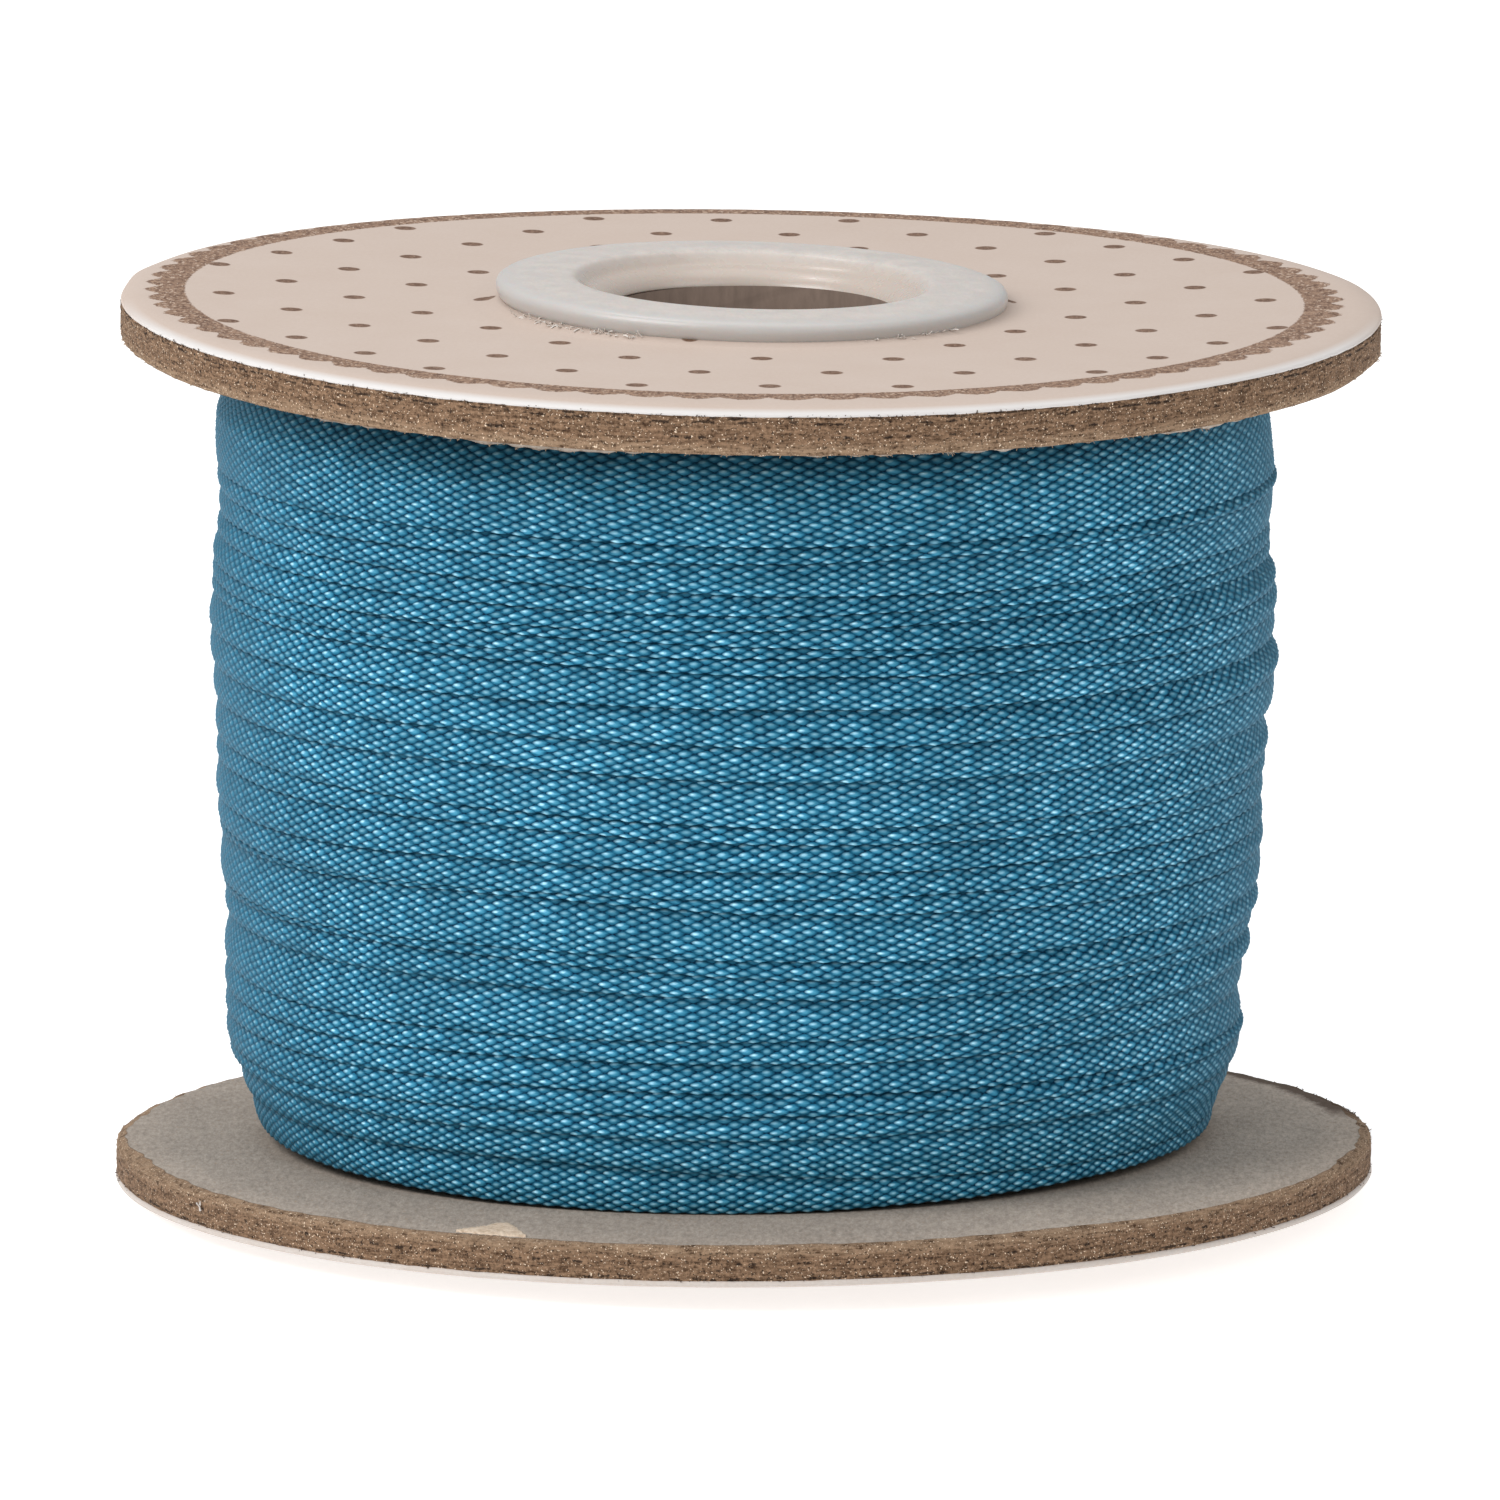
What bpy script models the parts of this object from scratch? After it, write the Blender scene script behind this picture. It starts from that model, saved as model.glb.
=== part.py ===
# A roll of narrow woven ribbon on a card spool that stands upright on its lower hub.
# Metres, +Z up. The origin is the middle of the foot, on the surface the spool stands on.

from collections import namedtuple
from math import cos, pi, radians, sin

import bmesh
import bpy

MM = 0.001

# Driving sizes
FLANGE_RADIUS = 32.5 * MM
FLANGE_SPAN = 44.9 * MM  # outer face of the lower flange to outer face of the upper one
BOARD_THICKNESS = 1.5 * MM
BOARD_EDGE = 0.15 * MM  # worn corner of the cut board
PAPER_THICKNESS = 0.35 * MM
CLEARANCE = 0.3 * MM  # between pieces that touch on the real spool
UPPER_TILT = radians(0.36)  # the upper flange leans a little to the right

CORE_RADIUS = 9.0 * MM
CORE_BORE = 7.3 * MM
LIP_HEIGHT = 1.4 * MM  # the hub's rolled lip above its flange
SPIGOT_DEPTH = 0.6 * MM  # how far the hub reaches into the board, down to the core's end

# How finely round pieces are divided
FLANGE_SEGMENTS = 64
HUB_SEGMENTS = 48
WINDING_SEGMENTS = 56

# The ribbon's turns
TURN_BULGE = 0.15 * MM  # how far a turn stands out above its lower edge
TURN_GROOVE = 0.3 * MM  # how far the surface drops back under a turn's lower edge
FULL_TURN = 1.5 * MM  # a turn that shows less than this bulges less
BULGE_PLACE = 0.32  # where in a turn it stands out furthest, from its lower edge up
BACK_DRIFT = 0.22 * MM  # how far the turns wander on the far side
FRONT_ANGLES = (radians(-65), 0.0, radians(60))  # where the turns' edges are given

# Levels that follow from the sizes
FLANGE_DEPTH = PAPER_THICKNESS + CLEARANCE + BOARD_THICKNESS
LOWER_FACE = LIP_HEIGHT
UPPER_FACE = LOWER_FACE + FLANGE_SPAN
CORE_INSET = SPIGOT_DEPTH + CLEARANCE
FLANGE_BORE = CORE_RADIUS + CLEARANCE

# The hub's section, in millimetres: radius, and height above the flange's outer face.
# It runs down the outer side, along the underside and spigot, and up the funnel.
ProfilePoint = namedtuple("ProfilePoint", "radius height")
LIP_SECTION = [
    ProfilePoint(10.6, 1.40),
    ProfilePoint(11.5, 1.34),
    ProfilePoint(12.4, 1.10),
    ProfilePoint(13.05, 0.72),
    ProfilePoint(13.3, 0.30),
]
FUNNEL_SECTION = [
    ProfilePoint(7.45, -0.10),
    ProfilePoint(7.85, 0.50),
    ProfilePoint(8.4, 0.95),
    ProfilePoint(9.1, 1.27),
    ProfilePoint(9.8, 1.40),
]

# The winding's outline, in millimetres: height above the lower flange's outer face,
# radius, and how far the winding sits towards -X of the spool's axis.
WindingRow = namedtuple("WindingRow", "height radius shift")
WINDING = [
    WindingRow(2.4, 24.7, 0.50),
    WindingRow(4.6, 25.4, 0.50),
    WindingRow(7.0, 26.2, 0.48),
    WindingRow(11.0, 26.45, 0.45),
    WindingRow(16.0, 26.9, 0.42),
    WindingRow(22.0, 27.15, 0.38),
    WindingRow(27.0, 27.5, 0.35),
    WindingRow(31.0, 27.6, 0.32),
    WindingRow(34.0, 27.2, 0.30),
    WindingRow(36.6, 27.45, 0.28),
    WindingRow(39.5, 26.9, 0.26),
    WindingRow(42.4, 26.7, 0.25),
]

# Lower edges of the turns that show, in millimetres above the lower flange's outer
# face, at the left, the front and the right of the winding, from the bottom up.
TurnEdge = namedtuple("TurnEdge", "left front right")
TURN_EDGES = [
    TurnEdge(4.2, 4.4, 3.6),
    TurnEdge(5.8, 6.3, 6.3),
    TurnEdge(6.8, 7.6, 7.8),
    TurnEdge(8.3, 8.8, 8.6),
    TurnEdge(9.6, 10.3, 10.2),
    TurnEdge(10.9, 11.5, 11.7),
    TurnEdge(13.6, 13.8, 13.3),
    TurnEdge(15.3, 15.7, 15.5),
    TurnEdge(17.9, 18.3, 17.6),
    TurnEdge(19.7, 20.4, 20.1),
    TurnEdge(21.6, 21.8, 21.4),
    TurnEdge(22.9, 22.8, 22.4),
    TurnEdge(24.9, 25.1, 24.7),
    TurnEdge(26.7, 26.9, 26.7),
    TurnEdge(28.5, 28.9, 28.5),
    TurnEdge(30.3, 30.5, 29.9),
    TurnEdge(31.1, 31.5, 31.2),
    TurnEdge(32.0, 32.8, 32.6),
    TurnEdge(33.4, 33.6, 33.5),
    TurnEdge(34.5, 34.7, 34.5),
    TurnEdge(35.7, 36.2, 36.0),
    TurnEdge(36.9, 37.1, 37.1),
]


def clear_scene():
    for thing in list(bpy.data.objects):
        bpy.data.objects.remove(thing)


def make_material(name, colour, roughness):
    material = bpy.data.materials.new(name)
    material.use_nodes = True
    shader = material.node_tree.nodes["Principled BSDF"]
    shader.inputs["Base Color"].default_value = (*colour, 1.0)
    shader.inputs["Roughness"].default_value = roughness
    shader.inputs["Metallic"].default_value = 0.0
    return material


def add_object(name, mesh, collection, material, parent=None):
    thing = bpy.data.objects.new(name, mesh)
    collection.objects.link(thing)
    mesh.materials.clear()
    mesh.materials.append(material)
    thing.parent = parent
    return thing


def turned_piece(name, section, segments, collection, material, parent=None):
    # A closed section of (radius, height) points turned about the Z axis. The section
    # runs down its outer side.
    outline = bmesh.new()
    points = [outline.verts.new((radius, 0.0, height)) for radius, height in section]
    for start, end in zip(points, points[1:] + points[:1]):
        outline.edges.new((start, end))
    mesh = bpy.data.meshes.new(name)
    outline.to_mesh(mesh)
    outline.free()
    thing = add_object(name, mesh, collection, material, parent)
    turn = thing.modifiers.new("Turn", "SCREW")
    turn.axis = "Z"
    turn.angle = 2 * pi
    turn.steps = segments
    turn.render_steps = segments
    turn.use_merge_vertices = True
    turn.merge_threshold = 0.00001
    turn.use_smooth_shade = False
    return thing


def board_section():
    top = -PAPER_THICKNESS - CLEARANCE
    bottom = -FLANGE_DEPTH
    return [
        (FLANGE_RADIUS - BOARD_EDGE, top),
        (FLANGE_RADIUS, top - BOARD_EDGE),
        (FLANGE_RADIUS, bottom + BOARD_EDGE),
        (FLANGE_RADIUS - BOARD_EDGE, bottom),
        (FLANGE_BORE, bottom),
        (FLANGE_BORE, top),
    ]


def paper_section():
    return [
        (FLANGE_RADIUS, 0.0),
        (FLANGE_RADIUS, -PAPER_THICKNESS),
        (FLANGE_BORE, -PAPER_THICKNESS),
        (FLANGE_BORE, 0.0),
    ]


def hub_section():
    spigot = [
        (CORE_RADIUS, CLEARANCE),
        (CORE_RADIUS, -SPIGOT_DEPTH),
        (CORE_BORE, -SPIGOT_DEPTH),
    ]
    lip = [(point.radius * MM, point.height * MM) for point in LIP_SECTION]
    funnel = [(point.radius * MM, point.height * MM) for point in FUNNEL_SECTION]
    return lip + spigot + funnel


def make_flange(side, place, rotation, collection, board, paper, plastic):
    # Board, printed paper and hub of one end, outer face up in the flange's own frame.
    seat = bpy.data.objects.new(side + "_flange_seat", None)
    collection.objects.link(seat)
    seat.location = (0.0, 0.0, place)
    seat.rotation_euler = rotation
    turned_piece(side + "_board", board_section(), FLANGE_SEGMENTS, collection, board, seat)
    turned_piece(side + "_paper", paper_section(), FLANGE_SEGMENTS, collection, paper, seat)
    turned_piece(side + "_hub", hub_section(), HUB_SEGMENTS, collection, plastic, seat)


def make_core(collection, material):
    top = UPPER_FACE - CORE_INSET
    bottom = LOWER_FACE + CORE_INSET
    section = [(CORE_RADIUS, top), (CORE_RADIUS, bottom), (CORE_BORE, bottom), (CORE_BORE, top)]
    turned_piece("core_tube", section, HUB_SEGMENTS, collection, material)


def ease(start, end, share):
    return start + (end - start) * (0.5 - 0.5 * cos(pi * share))


def edge_height(index, angle):
    # Height of one turn's lower edge at an angle from the front, -pi to pi.
    edge = TURN_EDGES[index]
    left, front, right = FRONT_ANGLES
    back = (edge.left + edge.right) / 2 * MM + BACK_DRIFT * sin(2.4 * index)
    if angle < left:
        height = ease(back, edge.left * MM, (angle + pi) / (left + pi))
    elif angle < front:
        height = ease(edge.left * MM, edge.front * MM, (angle - left) / (front - left))
    elif angle < right:
        height = ease(edge.front * MM, edge.right * MM, (angle - front) / (right - front))
    else:
        height = ease(edge.right * MM, back, (angle - right) / (pi - right))
    return LOWER_FACE + height


def winding_outline(height):
    # Radius and sideways shift of the winding at a height, without its ridges.
    level = (height - LOWER_FACE) / MM
    low = WINDING[0]
    for high in WINDING[1:]:
        if level < high.height:
            break
        low = high
    if low is high:
        return high.radius * MM, high.shift * MM
    share = max(0.0, (level - low.height) / (high.height - low.height))
    radius = low.radius + (high.radius - low.radius) * share
    shift = low.shift + (high.shift - low.shift) * share
    return radius * MM, shift * MM


def winding_point(angle, height, rise):
    # A point of the winding's face; the angle is counted from the front, -Y, to +X.
    radius, shift = winding_outline(height)
    radius += rise
    return (radius * sin(angle) - shift, -radius * cos(angle), height)


def winding_rows(bottom, top):
    # Rings of points from the bottom up: a groove and a bulge for each turn.
    angles = [2 * pi * step / WINDING_SEGMENTS - pi for step in range(WINDING_SEGMENTS)]
    rows = [[winding_point(angle, bottom, 0.0) for angle in angles]]
    for index in range(len(TURN_EDGES)):
        groove, bulge = [], []
        for angle in angles:
            low = edge_height(index, angle)
            high = top
            if index + 1 < len(TURN_EDGES):
                high = edge_height(index + 1, angle)
            size = min(1.0, (high - low) / FULL_TURN)
            groove.append(winding_point(angle, low, -TURN_GROOVE * size))
            middle = low + (high - low) * BULGE_PLACE
            bulge.append(winding_point(angle, middle, TURN_BULGE * size))
        rows += [groove, bulge]
    rows.append([winding_point(angle, top, -TURN_GROOVE) for angle in angles])
    bore = CORE_RADIUS + CLEARANCE
    for height in (top, bottom):
        rows.append([(bore * sin(angle), -bore * cos(angle), height) for angle in angles])
    return rows


def make_winding(collection, material):
    # One solid of the wound ribbon: its rings are joined face by face, round the core.
    bottom = LOWER_FACE + FLANGE_DEPTH + CLEARANCE
    lean = FLANGE_RADIUS * sin(UPPER_TILT)
    top = UPPER_FACE - FLANGE_DEPTH - CLEARANCE - lean
    loft = bmesh.new()
    rings = [[loft.verts.new(point) for point in row] for row in winding_rows(bottom, top)]
    for low, high in zip(rings, rings[1:] + rings[:1]):
        for step in range(WINDING_SEGMENTS):
            after = (step + 1) % WINDING_SEGMENTS
            loft.faces.new((low[step], low[after], high[after], high[step]))
    mesh = bpy.data.meshes.new("ribbon_winding")
    loft.to_mesh(mesh)
    loft.free()
    mesh.shade_smooth()
    mesh.set_sharp_from_angle(angle=radians(50))
    add_object("ribbon_winding", mesh, collection, material)


def main():
    clear_scene()
    spool = bpy.data.collections.new("ribbon_roll")
    bpy.context.scene.collection.children.link(spool)
    board = make_material("grey_board", (0.28, 0.19, 0.13), 0.9)
    upper_paper = make_material("printed_paper", (0.66, 0.55, 0.46), 0.75)
    lower_paper = make_material("plain_paper", (0.68, 0.58, 0.50), 0.75)
    plastic = make_material("hub_plastic", (0.62, 0.58, 0.55), 0.3)
    tube = make_material("core_card", (0.20, 0.14, 0.11), 0.9)
    cloth = make_material("teal_ribbon", (0.06, 0.20, 0.28), 0.55)

    make_flange("upper", UPPER_FACE, (0.0, UPPER_TILT, 0.0), spool, board, upper_paper, plastic)
    make_flange("lower", LOWER_FACE, (pi, 0.0, 0.0), spool, board, lower_paper, plastic)
    make_core(spool, tube)
    make_winding(spool, cloth)


main()
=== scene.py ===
from collections import namedtuple
from math import cos, pi, radians, sin

import bpy
import numpy as np
from mathutils import Matrix, Vector


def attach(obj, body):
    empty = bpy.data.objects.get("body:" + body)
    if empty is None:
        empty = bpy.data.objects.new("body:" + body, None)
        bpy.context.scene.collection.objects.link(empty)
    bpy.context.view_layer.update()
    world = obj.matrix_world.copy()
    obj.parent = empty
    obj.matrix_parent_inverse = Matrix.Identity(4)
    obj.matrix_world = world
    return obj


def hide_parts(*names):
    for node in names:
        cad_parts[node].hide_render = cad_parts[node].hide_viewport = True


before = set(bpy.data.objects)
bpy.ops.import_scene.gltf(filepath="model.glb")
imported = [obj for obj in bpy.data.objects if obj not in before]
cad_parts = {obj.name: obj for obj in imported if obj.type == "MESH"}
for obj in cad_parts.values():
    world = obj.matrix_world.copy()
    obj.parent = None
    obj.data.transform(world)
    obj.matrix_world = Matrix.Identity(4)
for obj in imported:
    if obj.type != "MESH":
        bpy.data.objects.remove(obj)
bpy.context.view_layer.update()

mm = 0.001
footLift = 1.4 * mm  # the lower flange's face above the surface, on the hub's lip
flangeSpan = 44.9 * mm  # from one flange's outer face to the other's
lowerSeat = Matrix.Translation((0, 0, footLift)) @ Matrix.Rotation(pi, 4, "X")
upperSeat = Matrix.Translation((0, 0, footLift + flangeSpan)) @ Matrix.Rotation(radians(0.36), 4, "Y")


# Helpers for node trees, the same for materials and geometry

class Value:
    # A node's output: a sum with it adds a Math node to its tree
    def __init__(self, tree, socket):
        self.tree, self.socket = tree, socket

    def maths(self, operation, *others, **settings):
        return wire(self.tree, "ShaderNodeMath", enumerate((self, *others)), operation=operation, **settings)

    def output(self, name):
        # Another output of the same node
        return Value(self.tree, self.socket.node.outputs[name])

    def __add__(self, other):
        return self.maths("ADD", other)

    def __sub__(self, other):
        return self.maths("SUBTRACT", other)

    def __mul__(self, other):
        return self.maths("MULTIPLY", other)

    def __truediv__(self, other):
        return self.maths("DIVIDE", other)


def feed(socket, value):
    if isinstance(value, Value):
        value.tree.links.new(value.socket, socket)
    else:
        socket.default_value = value


def wire(tree, kind, inputs=(), output=0, **settings):
    # Adds a node, sets it, feeds its inputs and gives one of its outputs
    node = tree.nodes.new(kind)
    for name, value in settings.items():
        setattr(node, name, value)
    for key, value in dict(inputs).items():
        feed(node.inputs[key], value)
    return Value(tree, node.outputs[output])


def treeOf(*values):
    return next(value.tree for value in values if isinstance(value, Value))


def ramp(value, low, high):
    # 0 below low, 1 above high, straight between; low may be the larger
    return wire(value.tree, "ShaderNodeMapRange", {"Value": value, "From Min": low, "From Max": high},
                "Result", clamp=True)


def blendColour(share, first, second, how="MIX"):
    inputs = {key: (*value, 1.0) if isinstance(value, tuple) else value
              for key, value in ((0, share), (6, first), (7, second))}
    return wire(treeOf(share, first, second), "ShaderNodeMix", inputs, 2, data_type="RGBA", blend_type=how)


def splitVector(vector):
    parts = wire(vector.tree, "ShaderNodeSeparateXYZ", {0: vector})
    return [parts.output(axis) for axis in "XYZ"]


def joinVector(x=0.0, y=0.0, z=0.0):
    return wire(treeOf(x, y, z), "ShaderNodeCombineXYZ", enumerate((x, y, z)))


def shaded(colour, shade):
    return blendColour(1.0, colour, joinVector(shade, shade, shade), "MULTIPLY")


def distance(x, y):
    return (x * x + y * y).maths("SQRT")


def noise(place, scale, detail=2.0, roughness=0.5, dimensions="3D"):
    inputs = {"Vector": place, "Scale": scale, "Detail": detail, "Roughness": roughness}
    return wire(place.tree, "ShaderNodeTexNoise", inputs, "Fac", noise_dimensions=dimensions)


def mapped(place, scale=(1, 1, 1), location=(0, 0, 0), rotation=(0, 0, 0)):
    inputs = {"Vector": place, "Scale": scale, "Location": location, "Rotation": rotation}
    return wire(place.tree, "ShaderNodeMapping", inputs)


def bumped(height, depth, strength):
    return wire(height.tree, "ShaderNodeBump", {"Height": height, "Distance": depth, "Strength": strength})


def newGroup(name, inputs, outputs, kind="ShaderNodeTree"):
    tree = bpy.data.node_groups.new(name, kind)
    for side, sockets in (("INPUT", inputs), ("OUTPUT", outputs)):
        for label, socketKind in sockets.items():
            tree.interface.new_socket(label, in_out=side, socket_type="NodeSocket" + socketKind)
    given = tree.nodes.new("NodeGroupInput").outputs
    return tree, {label: Value(tree, given[label]) for label in inputs}, tree.nodes.new("NodeGroupOutput").inputs


def placeGroup(group, **values):
    node = wire(treeOf(*values.values()), "ShaderNodeGroup", values, node_tree=group)
    return {label: node.output(label) for label in node.socket.node.outputs.keys()}


def newMaterial(name, roughness=0.6, **constants):
    material = bpy.data.materials.new(name)
    material.use_nodes = True
    shader = material.node_tree.nodes["Principled BSDF"].inputs
    for label, value in dict(constants, Roughness=roughness).items():
        shader[label.replace("_", " ")].default_value = value
    return material, material.node_tree, shader


def objectPlace(tree):
    # Object coordinates in millimetres
    return mapped(wire(tree, "ShaderNodeTexCoord", output="Object"), scale=(1000, 1000, 1000))


def mapPlace(tree, name):
    return wire(tree, "ShaderNodeUVMap", output="UV", uv_map=name)


def attribute(tree, name, kind="FLOAT"):
    return wire(tree, "GeometryNodeInputNamedAttribute", {"Name": name}, "Attribute", data_type=kind)


def dress(shape, given, result):
    # Ends a geometry tree: its instances made real, in the given material
    real = wire(shape.tree, "GeometryNodeRealizeInstances", {"Geometry": shape})
    feed(result["Geometry"], wire(shape.tree, "GeometryNodeSetMaterial", {
        "Geometry": real, "Material": given["Material"]}))


# Helpers for meshes

def ringMesh(name, points, mapName=None, mapPoints=None, closed=True):
    # points[row][column]; columns run round the axis, rows run up the outside, and a
    # closed piece joins its last row to its first
    rows, columns = points.shape[:2]
    low, here = np.meshgrid(np.arange(rows if closed else rows - 1), np.arange(columns), indexing="ij")
    up, after = (low + 1) % rows, (here + 1) % columns
    corners = [(low, here), (low, after), (up, after), (up, here)]
    faces = np.stack([row * columns + column for row, column in corners], -1).reshape(-1, 4)
    mesh = bpy.data.meshes.new(name)
    mesh.from_pydata(points.reshape(-1, 3).tolist(), [], faces.tolist())
    if mapName:
        layer = mesh.uv_layers.new(name=mapName)
        corners = [(low, here), (low, here + 1), (low + 1, here + 1), (low + 1, here)]
        spots = np.stack([mapPoints[row, column] for row, column in corners], -2)
        layer.data.foreach_set("uv", spots.astype(np.float32).reshape(-1))
    mesh.shade_smooth()
    return mesh


def addPiece(name, mesh, material, seat=None):
    if seat is not None:
        mesh.transform(seat)
    piece = bpy.data.objects.new(name, mesh)
    bpy.context.scene.collection.objects.link(piece)
    if not mesh.materials:
        mesh.materials.append(material)
    return piece


def settle(piece):
    # Turns the piece's modifiers into its own plain mesh
    graph = bpy.context.evaluated_depsgraph_get()
    mesh = bpy.data.meshes.new_from_object(
        piece.evaluated_get(graph), preserve_all_data_layers=True, depsgraph=graph)
    piece.modifiers.clear()
    piece.data = mesh
    return piece


def finishPiece(piece, slot, *nodes):
    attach(piece, "root")
    if nodes:
        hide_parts(*nodes)
    faces = sum(len(face.vertices) - 2 for face in piece.data.polygons)
    print("piece", piece.name, "triangles", faces)


def wobble(angles, seed, waves, size):
    # A smooth closed wander round the axis, from a few sine waves with a fixed seed
    chance = np.random.RandomState(seed)
    total = np.zeros_like(angles)
    for wave in waves:
        total += chance.uniform(0.4, 1.0) * np.sin(wave * angles + chance.uniform(0, 2 * pi))
    return total * size / len(waves) ** 0.5


# The camera, at the photo's angle

cameraView = dict(elevation=radians(10.41), distance=1255.6 * mm, lens=582.65, roll=radians(0.53),
                  target=(0.13 * mm, 0.0, 21.72 * mm + footLift))


def makeCamera(view):
    data = bpy.data.cameras.new("view")
    data.lens = view["lens"]
    data.sensor_width = 36
    data.clip_start = 0.05
    data.clip_end = 20
    camera = bpy.data.objects.new("view", data)
    bpy.context.scene.collection.objects.link(camera)
    away = Vector((0, -cos(view["elevation"]), sin(view["elevation"])))
    turn = (-away).to_track_quat("-Z", "Y").to_matrix().to_4x4() @ Matrix.Rotation(view["roll"], 4, "Z")
    camera.matrix_world = Matrix.Translation(Vector(view["target"]) + away * view["distance"]) @ turn
    bpy.context.scene.camera = camera


makeCamera(cameraView)
print("camera set")


# The ribbon: plain weave, wound in overlapping turns

winding = dict(
    picksPerTurn=318, rowPitch=0.2175 * mm, tuck=0.2 * mm, bulge=0.17 * mm, groove=0.3 * mm,
    bulgePlace=0.22, fullTurn=1.5 * mm, edgeRise=0.04 * mm, bore=21.5 * mm, top=42.25 * mm,
    backDrift=0.3 * mm, lean=0.18, rowsPerPiece=150, floatHeight=0.072 * mm,
    unevenness=0.5, pickJitter=0.03 * mm, rowJitter=0.012 * mm, seed=11,
    proudTurns=(3, 6, 8, 14, 16, 19, 20, 24), swellAngles=(-180, -110, -65, 0, 60, 110, 180))

# Height above the lower flange's outer face, and how far the wound ribbon reaches there to
# the left and to the right of the axis, in millimetres
windingOutline = [
    (2.0, 25.0, 23.9), (2.4, 25.1, 24.05), (4.5, 25.85, 24.55), (5.4, 26.2, 25.1),
    (6.2, 26.62, 25.3), (7.5, 26.82, 25.75), (9.2, 26.85, 25.5), (10.0, 26.87, 25.5),
    (12.0, 26.88, 25.85), (13.5, 26.8, 26.1), (15.5, 27.1, 26.46), (18.0, 27.22, 26.66),
    (20.0, 27.4, 26.55), (22.2, 27.37, 26.75), (23.5, 27.43, 26.65), (25.0, 27.5, 27.05),
    (26.5, 27.65, 27.25), (28.3, 27.8, 27.05), (30.5, 27.67, 27.23), (32.0, 27.62, 26.85),
    (34.6, 27.27, 26.8), (36.4, 27.45, 27.12), (38.0, 27.5, 26.87), (39.5, 27.5, 26.75),
    (41.0, 27.1, 26.6), (42.4, 26.4, 26.3)]

# Lower edge of each turn that shows, from the bottom up, in millimetres above the lower
# flange's outer face: at the left, left of the middle, the front, right of it, the right
edgeAngles = (-65, -25, 0, 25, 60)
Turn = namedtuple("Turn", "left nearLeft front nearRight right")
turns = [Turn(*line) for line in (
    (2.25, 2.20, 2.25, 2.55, 2.75), (4.21, 4.67, 4.40, 3.95, 3.57), (5.80, 6.26, 6.30, 6.45, 6.30),
    (6.68, 7.39, 7.62, 7.62, 7.77), (8.30, 8.72, 8.76, 8.64, 8.45), (9.59, 10.16, 10.31, 10.27, 10.23),
    (10.91, 11.29, 11.48, 11.52, 11.75), (13.56, 13.87, 13.75, 13.53, 13.34), (15.00, 15.30, 14.89, 14.43, 14.06),
    (15.27, 15.87, 15.76, 15.57, 15.61), (17.92, 18.60, 18.26, 17.99, 17.54), (18.22, 18.86, 18.94, 18.98, 18.79),
    (19.66, 20.41, 20.38, 20.22, 20.07), (21.70, 22.16, 21.85, 21.63, 21.36), (22.84, 22.99, 22.72, 22.53, 22.34),
    (24.88, 25.30, 25.11, 24.96, 24.70), (26.70, 27.04, 26.92, 26.81, 26.70), (28.51, 28.82, 28.85, 28.67, 28.51),
    (30.41, 30.78, 30.60, 30.33, 29.88), (31.01, 31.35, 31.43, 31.47, 31.50), (32.15, 32.15, 32.03, 31.66, 31.16),
    (31.92, 32.60, 32.79, 32.98, 32.79), (33.36, 33.55, 33.59, 33.66, 33.43), (34.49, 34.80, 34.61, 34.49, 34.38),
    (35.71, 36.16, 36.27, 36.42, 36.39), (36.84, 37.22, 37.14, 37.14, 37.07))]


def edgeLine(index, angles, spec):
    # Height of a turn's lower edge at each angle from the front, -pi to pi
    turn = turns[index]
    back = (turn.left + turn.right) / 2 + spec["backDrift"] / mm * sin(2.4 * index)
    known = [back, *turn, back]
    places = [-pi, *[radians(angle) for angle in edgeAngles], pi]
    slopes = [0.0] + [(known[i + 1] - known[i - 1]) / (places[i + 1] - places[i - 1])
                      for i in range(1, 6)] + [0.0]
    place = np.clip(np.searchsorted(places, angles, side="right") - 1, 0, 5)
    known, places, slopes = np.array(known), np.array(places), np.array(slopes)
    width = places[place + 1] - places[place]
    share = (angles - places[place]) / width
    square, cube = share ** 2, share ** 3
    line = ((2 * cube - 3 * square + 1) * known[place] + (cube - 2 * square + share) * width * slopes[place]
            + (3 * square - 2 * cube) * known[place + 1] + (cube - square) * width * slopes[place + 1])
    return line * mm + wobble(angles, 100 + index, (7, 11, 17, 26), 0.02 * mm)


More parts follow.
